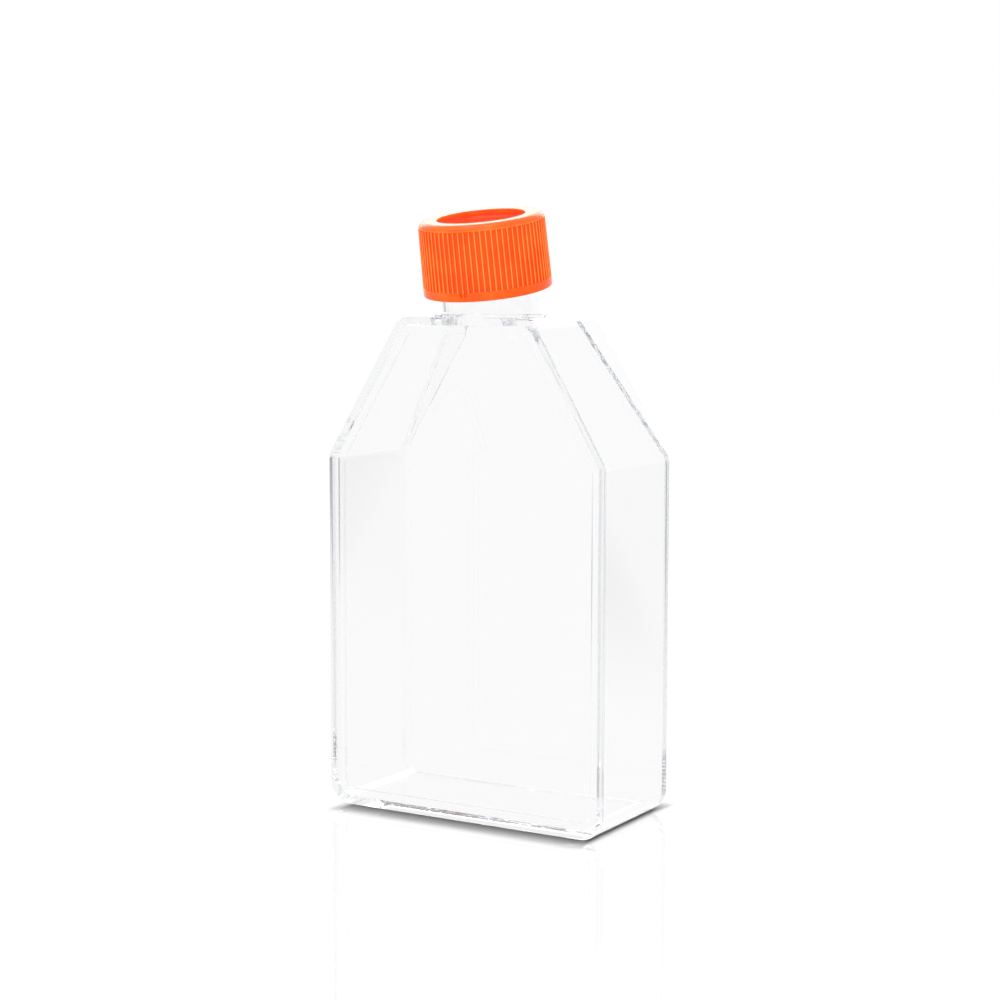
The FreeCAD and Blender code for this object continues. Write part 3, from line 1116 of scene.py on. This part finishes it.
@dataclass(frozen=True)
class ScrewCap:
    """The ribbed screw cap with its band, recessed top, inner thread and sealing plug.

    All sizes are in millimetres, with heights counted from the cap's open end.
    """

    height: float = 19.7
    root_radius: float = 16.65
    root_draft: float = 0.22
    rib_depth: float = 0.45
    draft: float = 0.3
    valley_top: float = 18.15
    rim_width: float = 5.1
    recess_depth: float = 2.3
    top_thickness: float = 1.8
    band_height: float = 2.4
    bore_radius: float = 14.6
    plug_radius: float = 11.12
    plug_wall: float = 1.3
    plug_depth: float = 4.0
    edge_radius: float = 2.2
    recess_radius: float = 1.4
    recess_edge: float = 0.35
    soft_radius: float = 0.35
    rib_count: int = 72
    rib_width: float = 0.62
    rib_turn: float = 4.0
    mark_azimuth: float = -81.0
    mark_length: float = 1.2
    thread_height: float = 3.4
    # Painted tone levels: painted shade between the ribs, and the plain tone of the band.
    valley_painted_shade: float = 0.35
    band_tone: float = 0.5
    arc_steps: int = 6
    segments: int = 216
    sharp_degrees: float = 35.0
    start: float = 7.35
    neck: NeckFrame = field(default_factory=NeckFrame)
    thread: Thread = field(
        default_factory=lambda: Thread(
            turns=1.25, radius=14.6, depth=1.2, root_width=1.5, crest_width=0.6, outward=False
        )
    )
    finish: OrangeCapPlastic = field(default_factory=OrangeCapPlastic)

    @property
    def outer_radius(self) -> float:
        """The radius over the ribs and the band."""
        return self.root_radius + self.rib_depth

    @property
    def top_radius(self) -> float:
        """The radius over the ribs at the top, where the draft has drawn them in."""
        return self.outer_radius - self.draft

    @property
    def edge_start(self) -> float:
        """The height at which the rounded top edge starts."""
        return self.height - self.edge_radius

    @property
    def seat(self) -> float:
        """The height of the cap's inner top, where the neck's lip stops."""
        return self.height - self.recess_depth - self.top_thickness

    def edge_point(self, angle: float) -> Point2:
        """The (radius, height) point of the rounded top edge at an angle above level."""
        out, up = self.edge_radius * math.cos(angle), self.edge_radius * math.sin(angle)
        return self.top_radius - self.edge_radius + out, self.edge_start + up

    @property
    def merge_angle(self) -> float:
        """The angle on the rounded top edge at which the valleys between the ribs end."""
        return math.asin((self.valley_top - self.edge_start) / self.edge_radius)

    def root_at(self, height: float) -> float:
        """The radius of the valleys between the ribs at a height."""
        share = (height - self.band_height) / (self.height - self.band_height)
        return self.root_radius - self.root_draft * share

    def build_blank(self) -> Piece:
        """Turns the cap from its section.

        Returns:
            The cap, before ribs and thread are added.
        """
        recess = self.top_radius - self.rim_width
        floor = self.height - self.recess_depth
        plug_inner = self.plug_radius - self.plug_wall
        plug_end = self.seat - self.plug_depth
        inside: list[Corner] = [
            (0.0, floor, 0.0),
            (recess, floor, self.recess_radius),
            (recess, self.height, self.recess_edge),
            (self.top_radius - self.edge_radius, self.height, 0.0),
        ]
        outside: list[Corner] = [
            (self.root_radius, self.band_height, 0.1),
            (self.outer_radius, self.band_height, 0.2),
            (self.outer_radius, 0.0, self.soft_radius),
            (self.bore_radius + 0.3, 0.0, 0.25),
            (self.bore_radius, 1.0, 0.0),
            (self.bore_radius, self.seat, 0.3),
            (self.plug_radius, self.seat, 0.2),
            (self.plug_radius, plug_end, 0.4),
            (plug_inner, plug_end, 0.3),
            (plug_inner, self.seat, 0.4),
            (0.0, self.seat, 0.0),
        ]
        steps = 8
        quarter = math.pi / 2
        fall = (quarter - self.merge_angle) / steps
        edge = [(*self.edge_point(quarter - fall * step), 0.0) for step in range(1, steps + 1)]
        ledge = self.edge_point(self.merge_angle)[0] - self.root_at(self.valley_top)
        edge.append((self.root_at(self.valley_top), self.valley_top - ledge, 0.1))
        outline = rounded_outline(inside + edge + outside, self.arc_steps)
        return turned("screw_cap_moulding", outline, self.segments)

    def build_notch(self, side: float) -> Piece:
        """The tool for one of the two notches in the band that make the index mark.

        Args:
            side: 1 or -1, for which side of the middle rib it lies on.

        Returns:
            The tool, turned to its place on the band.
        """
        pitch = 2 * math.pi * self.outer_radius / self.rib_count
        near, far = self.rib_width / 2, pitch - self.rib_width / 2
        foot = self.band_height - self.mark_length
        over = self.band_height + self.mark_length
        bend, level = near + 0.3, self.band_height - 0.15
        corners = [(near, foot), (bend, foot), (far, level), (far, over), (near, over)]
        inner, outer = self.root_radius + 0.05, self.outer_radius + 1.0
        rings = [[Vector((radius, side * across, up)) for across, up in corners] for radius in (inner, outer)]
        notch = loft("mark_notch", rings, single_face)
        notch.data.transform(Matrix.Rotation(math.radians(self.mark_azimuth), 4, "Z"))
        return notch

    def rib_template(self) -> Piece:
        """Builds one rounded rib beside the Z axis.

        Returns:
            The rib, from the band up to where the top edge takes it in.
        """
        half = self.rib_width / 2
        outline = ((0.0, 1.0), (0.1, 0.95), (0.6, 0.8), (0.85, 0.55), (0.97, 0.28))
        section = [(out, half * share) for out, share in outline]
        section += [(out, -half * share) for out, share in reversed(outline)]
        embed, soft = 0.3, 0.1
        crest = [
            (self.outer_radius - soft, self.band_height - embed),
            (self.outer_radius, self.band_height + soft),
        ]
        steps = 4
        crest += [self.edge_point(self.merge_angle * step / steps) for step in range(steps + 1)]
        crest.append((crest[-1][0] - embed, self.valley_top + embed))
        rings = []
        for radius, height in crest:
            foot = self.root_at(height) - embed
            rings.append([Vector((foot + out * (radius - foot), wide, height)) for out, wide in section])
        return loft("cap_rib", rings, single_face)

    def build_ribs(self) -> Piece:
        """Sets the ribs round the cap with Geometry Nodes.

        Returns:
            The ribs as plain mesh.
        """
        rib = self.rib_template()
        inputs = {
            "Count": ("Int", self.rib_count),
            "Turn": ("Float", math.radians(self.rib_turn)),
            "Rib": ("Object", rib),
        }
        tool = NodeTool("cap_ribs", inputs)
        tree, given = tool.tree, tool.given
        places = add_node(tree, "GeometryNodePoints", {"Count": given["Count"]})
        step_angle = maths(tree, "DIVIDE", 2 * math.pi, given["Count"])
        angle = maths(tree, "MULTIPLY", add_node(tree, "GeometryNodeInputIndex").outputs[0], step_angle)
        spin = add_node(tree, "ShaderNodeCombineXYZ", {"Z": maths(tree, "ADD", angle, given["Turn"])})
        shape = add_node(tree, "GeometryNodeObjectInfo", {"Object": given["Rib"]})
        sources = {
            "Points": places.outputs[0],
            "Instance": shape.outputs["Geometry"],
            "Rotation": spin.outputs[0],
        }
        ribs = tool.run(add_node(tree, "GeometryNodeInstanceOnPoints", sources).outputs[0])
        remove_object(rib)
        return ribs

    def painted_light_at(self, point: Vector) -> float:
        """How far out a point of the cap lies, which picks its painted tone: painted shade in the hollows, a
        painted highlight on the crests.

        Args:
            point: The point in the cap's own frame, in millimetres.

        Returns:
            0 in the recess and inside, 0.35 between the ribs, 0.5 on the band, 1 on a crest.
        """
        radius = math.hypot(point.x, point.y)
        slack, blend = 0.02, 0.05
        in_recess = radius < self.top_radius - self.rim_width - slack
        if in_recess or (radius < self.bore_radius and point.z < self.seat):
            return 0.0
        if point.z > self.valley_top + blend:
            return self.band_tone
        root = self.root_at(point.z)
        share = (point.z - self.band_height) / (self.edge_start - self.band_height)
        crest = self.outer_radius - self.draft * share
        out = min(1.0, max(0.0, (radius - root) / (crest - root)))
        most = self.band_tone if point.z < self.band_height else 1.0
        return self.valley_painted_shade + (most - self.valley_painted_shade) * out**2

    def build(self) -> Piece:
        """Builds the cap and dresses it.

        Returns:
            The cap, riding the cap body.
        """
        cap = self.build_blank()
        for side in (1.0, -1.0):
            work_in(cap, self.build_notch(side), Join.CUT)
        parts = [self.build_ribs(), self.thread.build("cap_thread", self.thread_height)]
        shell = bmesh.new()
        shell.from_mesh(cap.data)
        for part in parts:
            shell.from_mesh(part.data)
            remove_object(part)
        shell.to_mesh(cap.data)
        shell.free()
        close_and_smooth(cap, self.sharp_degrees)
        # Each point stores its level of painted shade or painted highlight for the cap's finish.
        painted_light_level = cap.data.attributes.new("painted_light_level", "FLOAT", "POINT")
        for vertex, value in zip(cap.data.vertices, painted_light_level.data):
            value.value = self.painted_light_at(vertex.co / MM)
        cap.data.transform(self.neck.matrix() @ Matrix.Translation((0, 0, self.start * MM)))
        wear(cap, self.finish.make())
        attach(cap, Body.CAP.value)
        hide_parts("screw_cap")
        LOG.info("screw cap: %d faces", len(cap.data.polygons))
        return cap


# ---------------- the studio


@dataclass(frozen=True)
class Softbox:
    """A soft rectangular lamp round the flask; its azimuth counts as a camera's does."""

    name: str
    azimuth: float
    elevation: float
    distance: float
    size: Point2
    watts: float


@dataclass(frozen=True)
class Studio:
    """The plain white table, the soft lights and the camera."""

    camera_place: Point2 = (0.28737, -0.48111)
    camera_height: float = 0.14319
    camera_yaw: float = 30.81
    camera_pitch: float = 5.97
    camera_roll: float = 0.14
    lens: float = 74.97
    sensor: float = 36.0
    nearest: float = 0.01
    table_size: float = 3.0
    table_drop: float = 0.00005
    lamp_focus: tuple[float, float, float] = (0.0, 0.0, 0.14)
    bounces: int = 300
    surface: WhiteTable = field(default_factory=WhiteTable)
    softboxes: tuple[Softbox, ...] = (
        Softbox("overhead_softbox", azimuth=-20.0, elevation=70.0, distance=0.8, size=(0.7, 0.7), watts=3.4),
        Softbox("back_softbox", azimuth=213.0, elevation=27.0, distance=1.2, size=(1.2, 0.56), watts=3.6),
        Softbox("right_softbox", azimuth=97.0, elevation=35.0, distance=0.6, size=(0.12, 0.12), watts=0.25),
        Softbox("front_softbox", azimuth=31.0, elevation=45.0, distance=0.7, size=(0.3, 0.12), watts=0.5),
    )

    def build_camera(self) -> None:
        """Sets up the camera."""
        yaw, pitch = math.radians(self.camera_yaw), math.radians(self.camera_pitch)
        ahead = Vector((-math.sin(yaw) * math.cos(pitch), math.cos(yaw) * math.cos(pitch), -math.sin(pitch)))
        data = bpy.data.cameras.new("camera")
        data.lens = self.lens
        data.sensor_width = self.sensor
        data.clip_start = self.nearest
        camera = new_object("camera", data)
        place = Vector((*self.camera_place, self.camera_height))
        roll = Matrix.Rotation(math.radians(self.camera_roll), 4, "Z")
        camera.matrix_world = facing(place, ahead) @ roll
        bpy.context.scene.camera = camera

    def build_table(self) -> None:
        """Sets up the white table under the flask."""
        half = self.table_size / 2
        corners = ((-half, -half), (half, -half), (half, half), (-half, half))
        mesh = bpy.data.meshes.new("table_top")
        mesh.from_pydata([(x, y, -self.table_drop) for x, y in corners], [], [(0, 1, 2, 3)])
        table = new_object("table_top", mesh)
        mesh.materials.append(self.surface.make())

    def build_world(self) -> None:
        """Sets up the plain white surroundings."""
        world = bpy.data.worlds.new("white_room")
        bpy.context.scene.world = world
        tree = empty_tree(world)
        sky = add_node(tree, "ShaderNodeBackground", {"Color": WHITE})
        add_node(tree, "ShaderNodeOutputWorld", {"Surface": sky.outputs[0]})

    def build_lamp(self, softbox: Softbox) -> None:
        """Sets up one softbox that faces the cap.

        Args:
            softbox: The lamp's place, size and power.
        """
        data = bpy.data.lights.new(softbox.name, "AREA")
        data.shape = "RECTANGLE"
        data.size, data.size_y = softbox.size
        data.energy = softbox.watts
        lamp = new_object(softbox.name, data)
        azimuth, elevation = math.radians(softbox.azimuth), math.radians(softbox.elevation)
        level, rise = softbox.distance * math.cos(elevation), softbox.distance * math.sin(elevation)
        focus = Vector(self.lamp_focus)
        place = focus + Vector((level * math.sin(azimuth), -level * math.cos(azimuth), rise))
        lamp.matrix_world = facing(place, focus - place)

    def build(self) -> None:
        """Builds the whole studio."""
        self.build_camera()
        self.build_table()
        self.build_world()
        for softbox in self.softboxes:
            self.build_lamp(softbox)
        scene = bpy.context.scene
        scene.view_settings.view_transform = "Standard"
        for kind in ("max", "glossy", "transmission"):
            setattr(scene.cycles, f"{kind}_bounces", self.bounces)
        LOG.info("studio: table, surroundings, %d softboxes and camera", len(self.softboxes))


def main() -> None:
    """Builds the flask and its surroundings."""
    logging.basicConfig(level=logging.INFO, format="%(message)s")
    ClearVessel().build()
    ScrewCap().build()
    Studio().build()


if __name__ == "__main__":
    main()
